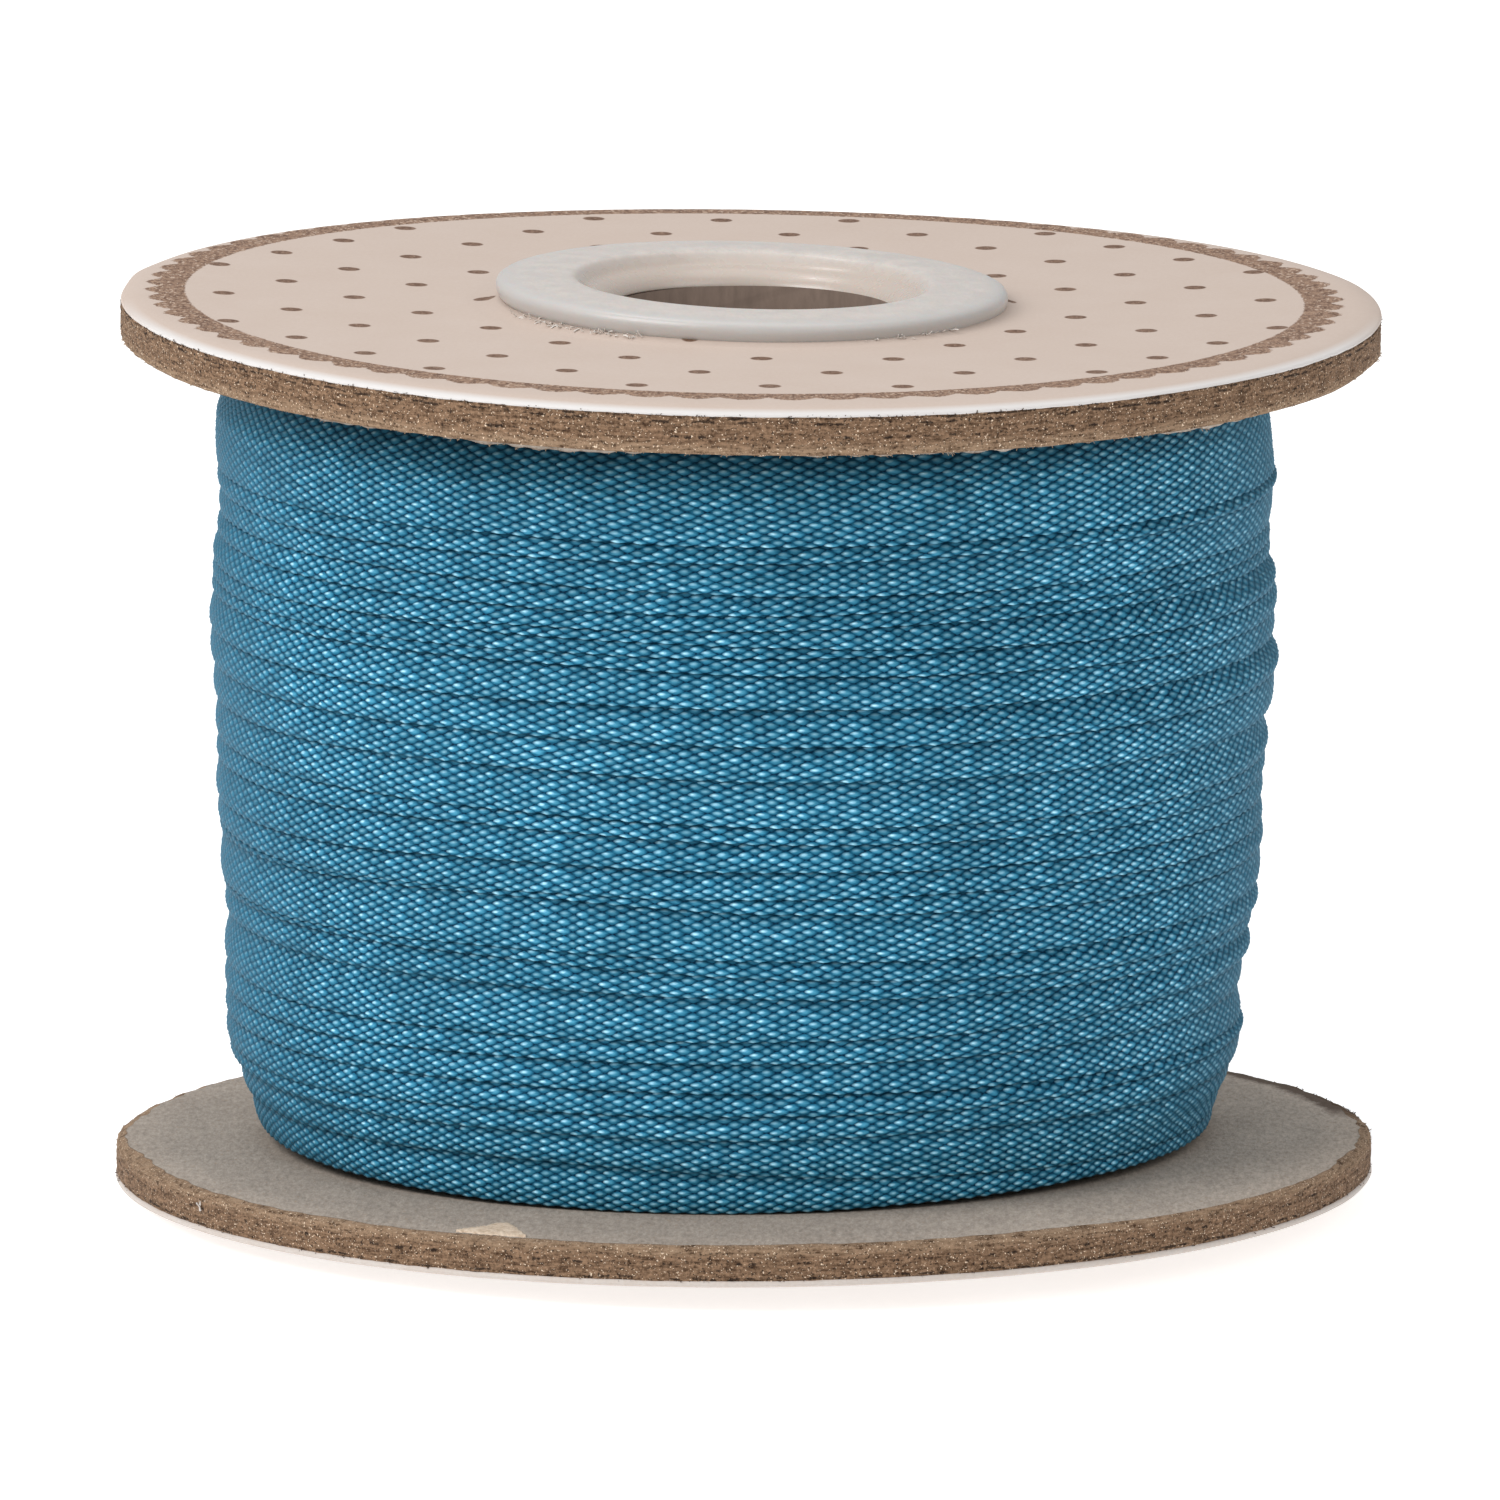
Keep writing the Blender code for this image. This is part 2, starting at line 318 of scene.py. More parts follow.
def turnRows(index, lines, angles, spec):
    # One turn's face as rows of (x, y, z, pick, end, groove), from its lower edge up; groove is how much painted
    # shade the row gets
    low = lines[index]
    ceiling = lines[index + 1:].min(axis=0) if index + 1 < len(lines) else np.full_like(low, spec["top"])
    reach = ceiling - low
    size = np.clip(reach / spec["fullTurn"], 0.0, 1.0)
    last = index + 1 == len(lines)
    count = int(np.ceil(2 * (reach.max() + (0 if last else spec["tuck"])) / spec["rowPitch"])) + 1
    levels, left, right = np.array(windingOutline).T * mm
    chance = np.random.RandomState(spec["seed"] + index)
    phase = chance.randint(0, spec["picksPerTurn"]) * 1.0
    lean = wobble(angles, 300 + index, (1, 2, 3), spec["lean"])
    stray = wobble(angles, 500 + index, (9, 14, 23), 0.1 * mm)
    proud = 1.3 if index in spec["proudTurns"] else 0.35
    swell = np.interp(angles, np.radians(spec["swellAngles"]), (0.7, 0.45, 0.45, 0.9, proud, proud, 0.7))
    swell = swell * (1 + wobble(angles, 700 + index, (1, 2, 4, 7), 0.25))
    picks = (np.arange(len(angles)) / 2.0 + phase) % spec["picksPerTurn"]
    jitter = np.cumsum(chance.uniform(-1, 1, len(angles)) * spec["pickJitter"])
    jitter = jitter - np.linspace(0, jitter[-1], len(angles))
    rowJitter = chance.uniform(-1, 1, count + 2) * spec["rowJitter"]
    rows = []
    for row in range(-1, count):
        climb = max(row, 0) * spec["rowPitch"] / 2
        place = np.clip(climb / np.maximum(reach, 0.1 * mm), 0.0, 1.0)
        rise = np.where(
            place < spec["bulgePlace"],
            spec["edgeRise"] + (spec["bulge"] - spec["edgeRise"]) * np.sin(place / spec["bulgePlace"] * pi / 2),
            spec["bulge"] - (spec["bulge"] + spec["groove"]) * (0.5 - 0.5 * np.cos(
                pi * (place - spec["bulgePlace"]) / (1 - spec["bulgePlace"]))) ** 1.1)
        hidden = np.clip(climb - reach, 0.0, None)
        rise = rise * size * swell - 0.6 * hidden - np.where(hidden > 0, 0.08 * mm, 0.0)
        if row < 0:
            rise = rise - 0.4 * mm
        height = low + climb + (rowJitter[row] if row > 0 else 0.0)
        toLeft, toRight = np.interp(height, levels, left), np.interp(height, levels, right)
        radius, shift = (toLeft + toRight) / 2 + rise, (toLeft - toRight) / 2
        turned = angles + (lean * climb + stray + jitter) / (27 * mm)
        x = radius * np.sin(turned) - shift
        y = -radius * np.cos(turned)
        ends = np.full_like(angles, max(row, 0) / 2.0)
        # Painted shade: a dark line just below the next turn's edge, softer shade up the groove, full shade on
        # hidden and tucked rows
        under = np.exp(-((reach - climb) / (0.16 * mm)) ** 2) * (0.6 + 0.4 * size)
        groove = np.maximum(under, np.clip((place - 0.7) / 0.3, 0.0, 1.0) ** 1.5 * size * 0.55)
        groove = np.where(climb > reach, 1.0, groove) if row >= 0 else np.ones_like(angles)
        rows.append(np.stack([x, y, height + footLift, picks, ends, groove], -1))
    return rows


def floatPlaces(along, across):
    # Floats of a plain weave lie in a lattice of diamonds: which float, and where on it
    marks = []
    for slant in ((along + across) * 0.5, (along - across) * 0.5):
        number = slant.maths("ROUND")
        marks.append((number, slant - number))
    (first, one), (second, two) = marks
    crown = (one * pi).maths("COSINE") * (two * pi).maths("COSINE")
    return joinVector(first, second), one, two, crown


def reliefTree():
    # Raises each float of the plain weave out of the turn's smooth face
    tree, given, result = newGroup("raiseFloats", {
        "Geometry": "Geometry", "Float Height": "Float", "Unevenness": "Float", "Seed": "Float",
        "Material": "Material"}, {"Geometry": "Geometry"}, "GeometryNodeTree")
    number, _, _, crown = floatPlaces(attribute(tree, "pick"), attribute(tree, "end"))
    chance = wire(tree, "ShaderNodeTexWhiteNoise", {"Vector": number, "W": given["Seed"]}, noise_dimensions="4D")
    uneven = (chance - 0.5) * given["Unevenness"] + 1.0
    raised = (crown - 0.4) * given["Float Height"] * uneven
    push = wire(tree, "ShaderNodeVectorMath", {0: wire(tree, "GeometryNodeInputNormal"), "Scale": raised},
                operation="SCALE")
    dress(wire(tree, "GeometryNodeSetPosition", {"Geometry": given["Geometry"], "Offset": push}), given, result)
    return tree


def addTree(piece, tree, **values):
    modifier = piece.modifiers.new(tree.name, "NODES")
    modifier.node_group = tree
    sockets = {item.name: item.identifier for item in tree.interface.items_tree if item.in_out == "INPUT"}
    for label, value in values.items():
        modifier[sockets[label.replace("_", " ")]] = value
    return modifier


def floatsGroup():
    # Masks and height of the weave's floats, from a map in whole picks and ends; Glint places a painted highlight on
    # each float
    tree, given, result = newGroup("wovenFloats", {"Weave": "Vector", "Lean": "Float"}, {
        "Reach": "Float", "Tone": "Float", "Glint": "Float", "Strand": "Float", "Height": "Float"})
    along, across, _ = splitVector(given["Weave"])
    number, one, two, crown = floatPlaces(along, across)
    tone = wire(tree, "ShaderNodeTexWhiteNoise", {"Vector": number}, noise_dimensions="2D")
    drift = splitVector(tone.output("Color"))
    lengthwise = one + two
    crosswise = one - two - lengthwise * given["Lean"]
    strand = noise(joinVector(along * 1.3, crosswise * 2.6 + tone * 40.0), 1.0, 2.0, 0.65, "2D")

    def spot(shiftAlong, shiftAcross, length, width):
        # Distance from a point on the float, 1 at the given half length and half width
        return distance((lengthwise + shiftAlong) / length, (crosswise + shiftAcross) / width)

    ragged = (strand - 0.5) * 0.55
    reach = spot(drift[2] * 0.16 - 0.08, 0.0, 0.82, 1.0) + ragged
    # A painted highlight spot on each float, a little off its middle
    glint = ramp(ragged + spot(drift[0] * 0.3 + 0.05, drift[1] * -0.3, 0.46, 0.46), 1.0, 0.15)
    height = (strand - 0.5) * 0.5 + crown.maths("POWER", 0.7)
    for label, value in dict(Reach=reach, Tone=tone, Glint=glint, Strand=strand, Height=height).items():
        feed(result[label], value)
    return tree


# Painted light and shade of the weave: the darkest colour is painted shade between the floats, the raised and glint
# colours are painted light on their crowns, the groove colour is painted shade under each turn's lower edge, the
# edge colour is a painted even tone for the weave seen edge-on, the first range is painted shadow under the upper
# flange and the second is painted light low on the winding
ribbonCloth = dict(gapShade=(0.0005, 0.019, 0.049), body=(0.016, 0.138, 0.24), raised=(0.064, 0.278, 0.418),
                   glint=(0.47, 0.82, 0.97), groove=(0.003, 0.03, 0.055), edge=(0.028, 0.126, 0.2),
                   roughness=0.5, turnShade=0.85, shadeUnderTop=(41.0, 43.0, 0.7), bottom=(9.0, 5.0, 0.16))


def ribbonMaterial(look, group):
    material, tree, shader = newMaterial("teal ribbon", look["roughness"], Specular_IOR_Level=0.04)
    floats = placeGroup(group, Weave=mapPlace(tree, "weave"), Lean=0.12)
    tone = floats["Tone"]
    # Painted shade between the floats, painted light on their crowns
    colour = blendColour(ramp(floats["Reach"], 1.02, 0.62), look["gapShade"], look["body"])
    colour = blendColour(ramp(floats["Reach"], 0.66, 0.2), colour, look["raised"])
    # Painted highlight on each float's crown
    light = floats["Glint"] * (floats["Strand"] * 1.6 - 0.2)
    colour = blendColour(light.maths("MULTIPLY", tone * 0.8 + 0.5, use_clamp=True), colour, look["glint"])
    place = objectPlace(tree)
    shade = (tone * 0.4 + 0.8) * (noise(place, 0.12, 3.0, 0.55) * 0.6 + 0.7)
    level = splitVector(place)[2]
    # Painted shadow under the upper flange, painted light towards the bottom of the winding
    for (low, high, share), sign in ((look["shadeUnderTop"], -1), (look["bottom"], 1)):
        shade = shade * (ramp(level, low, high) * (sign * share) + 1.0)
    colour = shaded(colour, shade)
    # Seen edge-on, the painted shade and highlights give way to one even edge colour, a painted tone
    aside = wire(tree, "ShaderNodeLayerWeight", {"Blend": 0.5}, "Facing")
    colour = blendColour(ramp(aside, 0.42, 0.82) * 0.8, colour, look["edge"])
    # Painted shade in the groove under each turn's lower edge
    groove = wire(tree, "ShaderNodeAttribute", output="Fac", attribute_name="groove")
    feed(shader["Base Color"], blendColour(groove * look["turnShade"], colour, look["groove"]))
    feed(shader["Normal"], bumped(floats["Height"], 0.06 * mm, 0.8))
    return material


def makeWinding(spec, material, relief):
    # Turns are stacked into ring-shaped pieces, each a closed body with a plain back
    columns = 2 * spec["picksPerTurn"]
    angles = np.arange(columns) * 2 * pi / columns - pi
    lines = np.array([edgeLine(index, angles, spec) for index in range(len(turns))])
    stacks, stack = [], []
    for index in range(len(turns)):
        rows = turnRows(index, lines, angles, spec)
        if len(stack) + len(rows) > spec["rowsPerPiece"]:
            stacks.append(stack)
            stack = []
        stack = stack + rows
    stacks.append(stack)
    for number, stack in enumerate(stacks, 1):
        for row in (stack[-1], stack[0]):
            back = row.copy()
            back[:, 0] = spec["bore"] * np.sin(angles)
            back[:, 1] = -spec["bore"] * np.cos(angles)
            back[:, 2] = back[:, 2].mean()
            stack = stack + [back]
        grid = np.array(stack)
        spots = np.concatenate([grid[..., 3:5], grid[:, :1, 3:5]], 1)
        picks = spots[:, :, 0]
        for row in picks:
            row += spec["picksPerTurn"] * (np.cumsum(np.diff(row, prepend=row[0]) < -1))
        spots = np.concatenate([spots, spots[:1]], 0)
        mesh = ringMesh("ribbonTurns", grid[..., :3], "weave", spots)
        for label, channel in (("pick", 3), ("end", 4), ("groove", 5)):
            layer = mesh.attributes.new(label, "FLOAT", "POINT")
            layer.data.foreach_set("value", grid[..., channel].astype(np.float32).reshape(-1))
        piece = addPiece(f"ribbonTurns{number}", mesh, material)
        addTree(piece, relief, Float_Height=spec["floatHeight"], Unevenness=spec["unevenness"],
                Seed=float(number), Material=material)
        finishPiece(settle(piece), "ribbon", "ribbon_winding")


weaveGroup = floatsGroup()
makeWinding(winding, ribbonMaterial(ribbonCloth, weaveGroup), reliefTree())
print("ribbon wound")


# The two flanges: grey board discs faced with paper, die-cut with a rolled-over edge

board = dict(
    radius=32.5 * mm, bore=9.3 * mm, depth=2.15 * mm, columns=800, rimRows=9,
    paperSide=0.3 * mm, corner=0.05 * mm, wear=0.02 * mm, layerSize=0.03 * mm, fringe=0.05 * mm,
    flats=(), dips=(), bites=())
upperCut = dict(board, paperSide=0.16 * mm, inset=(0.05 * mm, 0.22 * mm), roll=(-0.15 * mm, 0.17 * mm),
                endRoll=0.26 * mm, endInset=0.2 * mm, fringe=0.08 * mm,
                flats=((92, 6, 0.06), (108, 6, -0.06), (-93, 5, 0.07), (-102, 4, -0.1)),
                dips=((66, 7, 0.14), (92, 9, -0.26)))
# The lower board's inner edge is burst in uneven bites: angle from the front and share
lowerCut = dict(board, columns=640, inset=(0.02 * mm, 0.95 * mm), roll=(0.0, 0.3 * mm),
                endRoll=0.14 * mm, endInset=0.05 * mm, fringe=0.04 * mm, bites=(
                    (-180, 0.5), (-135, 0.9), (-100, 0.9), (-92, 0.5), (-86, 0.4), (-76, 0.85), (-60, 0.5),
                    (-48, 0.42), (-38, 0.55), (-31, 0.32), (-24, 0.7), (-17, 0.5), (-6, 0.35), (4, 0.5), (14, 0.4),
                    (24, 0.6), (33, 0.65), (36, 0.28), (40, 0.12), (53, 0.1), (67, 0.15), (74, 0.5), (80, 0.5),
                    (90, 0.6), (103, 0.95), (135, 0.95), (180, 0.5)))


def bendUpper(x, y):
    # The upper board and its paper are a little bent: the rise of each point, in millimetres
    side, deep = x / 28, y / 28
    rise = (-0.027 * side ** 2 - 0.254 * deep ** 2 + 0.16 * side ** 2 * deep - 0.073 * deep
            + 0.022 * side + 0.04 * side * deep ** 2)
    turn, reach = np.arctan2(x, -y), np.clip((np.hypot(x, y) - 20) / 12, 0.0, None) ** 2
    waves = 0.279 + 0.04 * np.cos(turn) - 0.01 * np.sin(turn) - 0.069 * np.cos(2 * turn)
    waves += 0.019 * np.sin(2 * turn) - 0.045 * np.cos(3 * turn) - 0.015 * np.sin(3 * turn)
    return rise + reach * waves


def bendLower(x, y):
    # The lower board hangs down towards the back and the left, outside its hub
    side, deep, radius = x / 28, y / 28, np.hypot(x, y)
    rise = (-0.409 + 0.355 * side - 0.918 * deep - 0.054 * side ** 2 - 0.479 * deep ** 2
            + 0.218 * side ** 2 * deep)
    reach = np.clip((radius - 9) / 14, 0.0, 1.0)
    lowest = -1.36 + 0.5 * np.clip((y / np.maximum(radius, 1.0) - 0.62) / 0.38, 0.0, 1.0) ** 2
    return lowest + 0.12 * np.logaddexp(0, (reach ** 2 * (3 - 2 * reach) * rise - lowest) / 0.12)


def bendMesh(mesh, bend):
    spots = np.empty(len(mesh.vertices) * 3, np.float32)
    mesh.vertices.foreach_get("co", spots)
    spots = spots.reshape(-1, 3)
    spots[:, 2] += bend(spots[:, 0] / mm, spots[:, 1] / mm) * mm
    mesh.vertices.foreach_set("co", spots.reshape(-1))
    return mesh


def burstShare(angles, seed, bites):
    # How far the cutting die has burst the board's inner edge, 0 to 1, in uneven bites
    quick = wobble(angles, seed + 1, (31, 47, 71, 97, 131), 0.35)
    if bites:
        fromFront = (360 - np.degrees(angles)) % 360 - 180
        slow = np.interp(fromFront, *np.array(bites).T)
        return np.clip(slow + 0.4 * quick * np.sqrt(slow), 0.0, 1.0)
    return np.clip(0.42 + 0.36 * wobble(angles, seed, (5, 9, 13, 17), 1.0) + 0.3 * quick, 0.0, 1.0)


def wornEdge(angles, spec, seed):
    # The board's worn inner edge: how far in it lies, and how far from the inner face
    burst = burstShare(angles, seed, spec["bites"])
    ends = np.clip((np.abs(np.sin(angles)) - 0.72) / 0.24, 0.0, 1.0)  # the left and right of the board
    fringe = wobble(angles, seed + 8, (61, 83, 97, 127, 163, 211), spec["fringe"])
    inset = spec["inset"][0] + (spec["inset"][1] - spec["inset"][0]) * burst + spec["endInset"] * ends
    roll = spec["roll"][0] + (spec["roll"][1] - spec["roll"][0]) * burst + spec["endRoll"] * ends + fringe
    return inset, roll + flatShare(angles, spec["dips"])


def flatShare(angles, flats):
    # Flats pressed into a disc's rim, each given by its angle, its width and its depth
    return sum((depth * mm * np.exp(-((angles - radians(middle)) / radians(width)) ** 2)
                for middle, width, depth in flats), np.zeros_like(angles))


def boardMesh(spec, seed):
    # In the flange's own frame: outer face up at zero, inner face down at the depth
    angles = np.arange(spec["columns"]) * 2 * pi / spec["columns"] - pi
    inset, roll = wornEdge(angles, spec, seed)
    radius = spec["radius"] + wobble(angles, seed + 2, (3, 5, 8, 19), 0.03 * mm) - flatShare(angles, spec["flats"])
    inner = -spec["depth"]
    rows, spots = [], []

    def addRow(rowRadius, height, along):
        rowRadius = np.broadcast_to(rowRadius, angles.shape)
        height = np.broadcast_to(height, angles.shape)
        rows.append(np.stack([rowRadius * np.sin(angles), -rowRadius * np.cos(angles), height], -1))
        spots.append(np.broadcast_to(along, angles.shape))

    rimTop = -spec["paperSide"] - spec["corner"]
    rimBottom = inner + roll
    for row in range(spec["rimRows"] + 1):
        share = row / spec["rimRows"]
        height = rimBottom + (rimTop - rimBottom) * share
        layer = wobble(angles, seed + 20 + row, (23, 41, 67, 103, 151, 211, 263), spec["layerSize"])
        tuckIn = spec["wear"] * (2 * share - 1) ** 4
        addRow(radius + layer - tuckIn, height, (height - inner) / mm)
    addRow(radius - spec["corner"], -spec["paperSide"], 2.2)
    for share in (0.6, 0.3, 0.0):
        addRow(spec["bore"] + (spec["radius"] - spec["bore"]) * share, -spec["paperSide"], 3.0)
    addRow(spec["bore"], inner, 5.0)
    for share in (0.2, 0.4, 0.55, 0.68, 0.8, 0.9, 1.0):
        reach = spec["bore"] + (radius - inset - spec["bore"]) * share
        addRow(reach, inner, -1.0 * (1 - share))
    addRow(radius - inset * 0.9, inner + roll * 0.12, 0.02)
    addRow(radius - inset * 0.45, inner + roll * 0.45, 0.05)
    rows, spots = rows[-1:] + rows[:-1], spots[-1:] + spots[:-1]
    around = np.broadcast_to(np.append(angles, pi) * spec["radius"] / mm, (len(rows) + 1, len(angles) + 1))
    along = np.array(spots + spots[:1])
    along = np.concatenate([along, along[:, :1]], 1)
    return ringMesh("board", np.array(rows), "section", np.stack([around, along], -1))


# The last setting lightens the boards' inner faces towards the right: painted light
boardLook = dict(
    brown=(0.292, 0.18, 0.109), dark=(0.062, 0.031, 0.015), tan=(0.35, 0.24, 0.155),
    fleck=(0.86, 0.69, 0.52), grey=(0.5, 0.425, 0.36), greyDark=(0.235, 0.196, 0.163), crack=(0.02, 0.01, 0.006),
    cracks=((1.66, 1.1, 0.5), (1.9, 1.2, 0.56), (0.9, 1.5, 0.57)), pale=(4.0, 28.0, 0.24), roughness=0.92)


def boardMaterial(name, look):
    material, tree, shader = newMaterial(name, look["roughness"], Specular_IOR_Level=0.25)
    around, along, _ = splitVector(mapPlace(tree, "section"))
    place = objectPlace(tree)
    x, y, z = splitVector(place)

    def layered(stretch, height, detail):
        return noise(joinVector(around * stretch, along * height), 1.0, detail, 0.6, "2D")

    pulp, strips, wander = noise(place, 5.5, 3.0, 0.7), layered(0.9, 6.0, 3.0), layered(0.35, 1.0, 2.0)
    colour = blendColour(ramp(strips * 0.8 + pulp, 0.66, 1.09), look["dark"], look["brown"])
    border = ramp(wander * 0.5 + (pulp - 0.5) * 0.9 + along, 0.95, 0.55) * ramp(pulp + strips, 0.7, 1.15)
    colour = blendColour(border * 0.8, colour, look["tan"])
    colour = blendColour(ramp(noise(place, 10.0, 1.0, 0.5), 0.665, 0.72), colour, look["fleck"])
    pits = noise(mapped(place, scale=(1.0, 1.0, 1.3), location=(5, 7, 3)), 6.5, 1.0, 0.5)
    pitted = ramp(pits, 0.35, 0.3) * ramp(along, 0.15, 0.4)
    colour = blendColour(pitted * 0.8, colour, look["crack"])
    cracked = None
    for level, stretch, start in look["cracks"]:
        # Short dark splits between the board's layers, in broken rows
        line = (wander * 0.3 + along - (level + 0.15)).maths("ABSOLUTE") + (pulp - 0.5) * 0.2
        split = ramp(line, 0.075, 0.02) * ramp(layered(stretch, level, 3.0), start, start + 0.06)
        cracked = cracked.maths("MAXIMUM", split) if cracked else split
    colour = blendColour(cracked * 0.85, colour, look["crack"])
    grain = noise(mapped(place, scale=(4.2, 1.3, 4.2)), 1.0, 3.0, 0.8)
    blotch = noise(mapped(place, scale=(0.3, 0.15, 0.3)), 1.0, 2.0, 0.5)
    face = blendColour(ramp(blotch * 0.2 + grain, 0.32, 0.86), look["greyDark"], look["grey"])
    # Painted light: the inner faces are lightened towards the right
    low, high, share = look["pale"]
    face = shaded(face, ramp(x, low, high) * share + 0.97)
    fibres = noise(mapped(place, scale=(5.0, 3.0, 5.0), rotation=(0, 0, 0.6)), 1.0, 1.0)
    face = blendColour(ramp(fibres, 0.66, 0.76) * 0.5, face, look["tan"])
    # The lower board's rim has split and darkened at the back right
    stain = ramp(pulp * 0.05 + along, -0.025, 0.0) * ramp(along, 0.4, 0.2)
    for value, low, high in ((y, 3.0, 6.0), (y, 23.0, 19.0), (x, 19.0, 22.0), (z, 20.0, 10.0)):
        stain = stain * ramp(value, low, high)
    onFace = ramp(along, 0.01, 0.0)
    feed(shader["Base Color"], blendColour(stain * 0.85, blendColour(onFace, colour, face), look["dark"]))
    height = strips * 0.8 + pulp * 1.1 - (cracked + pitted * 0.6)
    height = wire(tree, "ShaderNodeMix", {0: onFace, 2: height, 3: grain * 0.3 + 0.5}, data_type="FLOAT")
    feed(shader["Normal"], bumped(height, 0.12 * mm, 0.9))
    return material


paper = dict(radius=32.5 * mm, thickness=0.14 * mm, uneven=0.02 * mm, columns=360)
# A sheet's outer face from its cut edge inwards: radius, and height above the flange's
# outer face. The upper sheet is rolled over the board's edge by the cutting die.
upperSheet = dict(paper, flats=upperCut["flats"], section=[
    (32.47, -0.2), (32.52, -0.13), (32.46, -0.04), (32.34, 0.02),
    (32.2, 0.08), (32.0, 0.15), (31.8, 0.21), (31.4, 0.27),
    (31.0, 0.3), (30.0, 0.31), (27.0, 0.3), (22.0, 0.25),
    (17.0, 0.17), (14.3, 0.13), (13.6, 0.21), (13.2, 0.34),
    (12.95, 0.46), (12.6, 0.3), (11.5, 0.05), (9.4, 0.05)])
lowerSheet = dict(paper, columns=300, flats=(), section=[
    (32.5, -0.36), (32.56, -0.26), (32.58, -0.14), (32.5, -0.05),
    (32.35, 0.0), (31.5, 0.0), (27.0, 0.0), (17.0, 0.0),
    (9.4, 0.0)])


def paperMesh(spec, seed):
    angles = np.arange(spec["columns"]) * 2 * pi / spec["columns"] - pi
    sway = wobble(angles, seed, (4, 7, 12, 29), spec["uneven"])
    hem = wobble(angles, seed + 1, (6, 17, 37, 61, 97), spec["uneven"])
    sway = sway - flatShare(angles, spec["flats"])
    rows = {0.0: [], 1.0: []}
    for inside in rows:
        for number, (radius, height) in enumerate(spec["section"]):
            rim = np.clip((radius - 30.5) / 1.5, 0.0, 1.0)
            edge = 1.0 if number == 0 else 0.0
            spread = radius * mm + sway * rim - inside * spec["thickness"] * rim
            level = height * mm + hem * edge - inside * spec["thickness"] * (1 - edge)
            rows[inside].append(np.stack([spread * np.sin(angles), -spread * np.cos(angles), level], -1))
    return ringMesh("paper", np.array(rows[0.0] + rows[1.0][::-1]))


# The rim colour is the paper's whiter cut edge with painted highlight along the front
printedPaper = dict(
    cream=(0.573, 0.475, 0.415), creamWarm=(0.54, 0.437, 0.373), whiteEdgeAndHighlight=(0.67, 0.645, 0.63),
    backCream=(0.53, 0.45, 0.395), backWhite=(0.6, 0.55, 0.515),
    ink=(0.11, 0.052, 0.028), inkLight=(0.34, 0.215, 0.145), inkWorn=(0.55, 0.42, 0.33),
    centre=(-0.36, 0.953), ringInside=28.84, ringValley=30.22, scallopDepth=0.74, scallops=78,
    dotRadius=0.58, dotSpacing=6.726, rowSpacing=4.43, rowStart=1.17, dotStart=-0.28,
    dotTurn=radians(2.8), bandStart=31.9, bandEnd=32.35, roughness=0.62)


def printGroup(look):
    # Dots in staggered rows inside a ring with a scalloped outer edge
    tree, given, result = newGroup("dotsAndRing", {"Place": "Vector"}, {"Ink": "Float", "Ring": "Float"})
    place = given["Place"]
    x, y, _ = splitVector(place)
    x, y = x - look["centre"][0], y - look["centre"][1]
    reach = distance(x, y)
    turn = y.maths("ARCTAN2", x) * (look["scallops"] / (2 * pi))
    across = (turn.maths("FRACT") * 2.0 - 1.0).maths("ABSOLUTE")
    arch = across.maths("POWER", 1.7) * -1.0 + 1.0
    rough = (noise(place, 3.6, 3.0, 0.7) - 0.5) * 0.75
    outer = ramp(arch * look["scallopDepth"] + look["ringValley"] + rough - reach, 0.0, 0.07)
    ring = outer * ramp(reach + rough * 0.5, look["ringInside"], look["ringInside"] + 0.07)
    x, y, _ = splitVector(mapped(place, rotation=(0, 0, -look["dotTurn"])))
    row = (y - look["rowStart"]) / look["rowSpacing"]
    nearRow = row.maths("ROUND")
    stagger = nearRow.maths("ABSOLUTE").maths("MODULO", 2.0) * 0.5
    column = (x - look["dotStart"]) / look["dotSpacing"] + stagger
    away = distance((column - column.maths("ROUND")) * look["dotSpacing"], (row - nearRow) * look["rowSpacing"])
    dots = ramp(away, look["dotRadius"] + 0.04, look["dotRadius"] - 0.06)
    dots = dots * ramp(reach, look["ringInside"] + 0.3, look["ringInside"])
    feed(result["Ink"], ring.maths("MAXIMUM", dots))
    feed(result["Ring"], ring)
    return tree


def whiteRimAndHighlightMask(place, look):
    # 1 where the sheet turns down over the board's front edge, 0 on its flat: the paper's whiter cut edge with
    # painted highlight, kept to the front where light catches it
    x, y, _ = splitVector(place)
    return ramp(distance(x, y), look["bandStart"], look["bandEnd"]) * ramp(y, -2.0, -12.0)


def paperStock(name, look, start, darker, lighter):
    # Paper before it is printed: its material, shader, coordinates and colour
    material, tree, shader = newMaterial(name, look["roughness"], Specular_IOR_Level=0.3)
    place = objectPlace(tree)
    flecks = noise(place, 5.0, 3.0, 0.6)
    feed(shader["Normal"], bumped(flecks, 0.02 * mm, 0.5))
    return material, shader, place, blendColour(
        ramp(noise(place, 0.25) * 0.6 + flecks, start, 1.1), darker, lighter)


def printedPaperMaterial(look, printed):
    material, shader, place, colour = paperStock(
        "printed cream paper", look, 0.5, look["creamWarm"], look["cream"])
    marks = placeGroup(printed, Place=place)
    grain = mapped(place, scale=(1.0, 0.5, 1.0))
    worn = ramp(noise(grain, 4.0, 3.0, 0.75), 0.36, 0.62) * (marks["Ring"] * 0.55 + 0.45)
    ink = blendColour(worn, look["ink"], look["inkLight"])
    thin = ramp(noise(mapped(grain, location=(9, 4, 0)), 5.5, 1.0, 0.6), 0.59, 0.68)
    ink = blendColour(thin * (marks["Ring"] * 0.6 + 0.2), ink, look["inkWorn"])
    colour = blendColour(marks["Ink"], colour, ink)
    # Whiter cut edge and painted highlight along the front rim
    feed(shader["Base Color"], blendColour(whiteRimAndHighlightMask(place, look), colour, look["whiteEdgeAndHighlight"]))
    return material


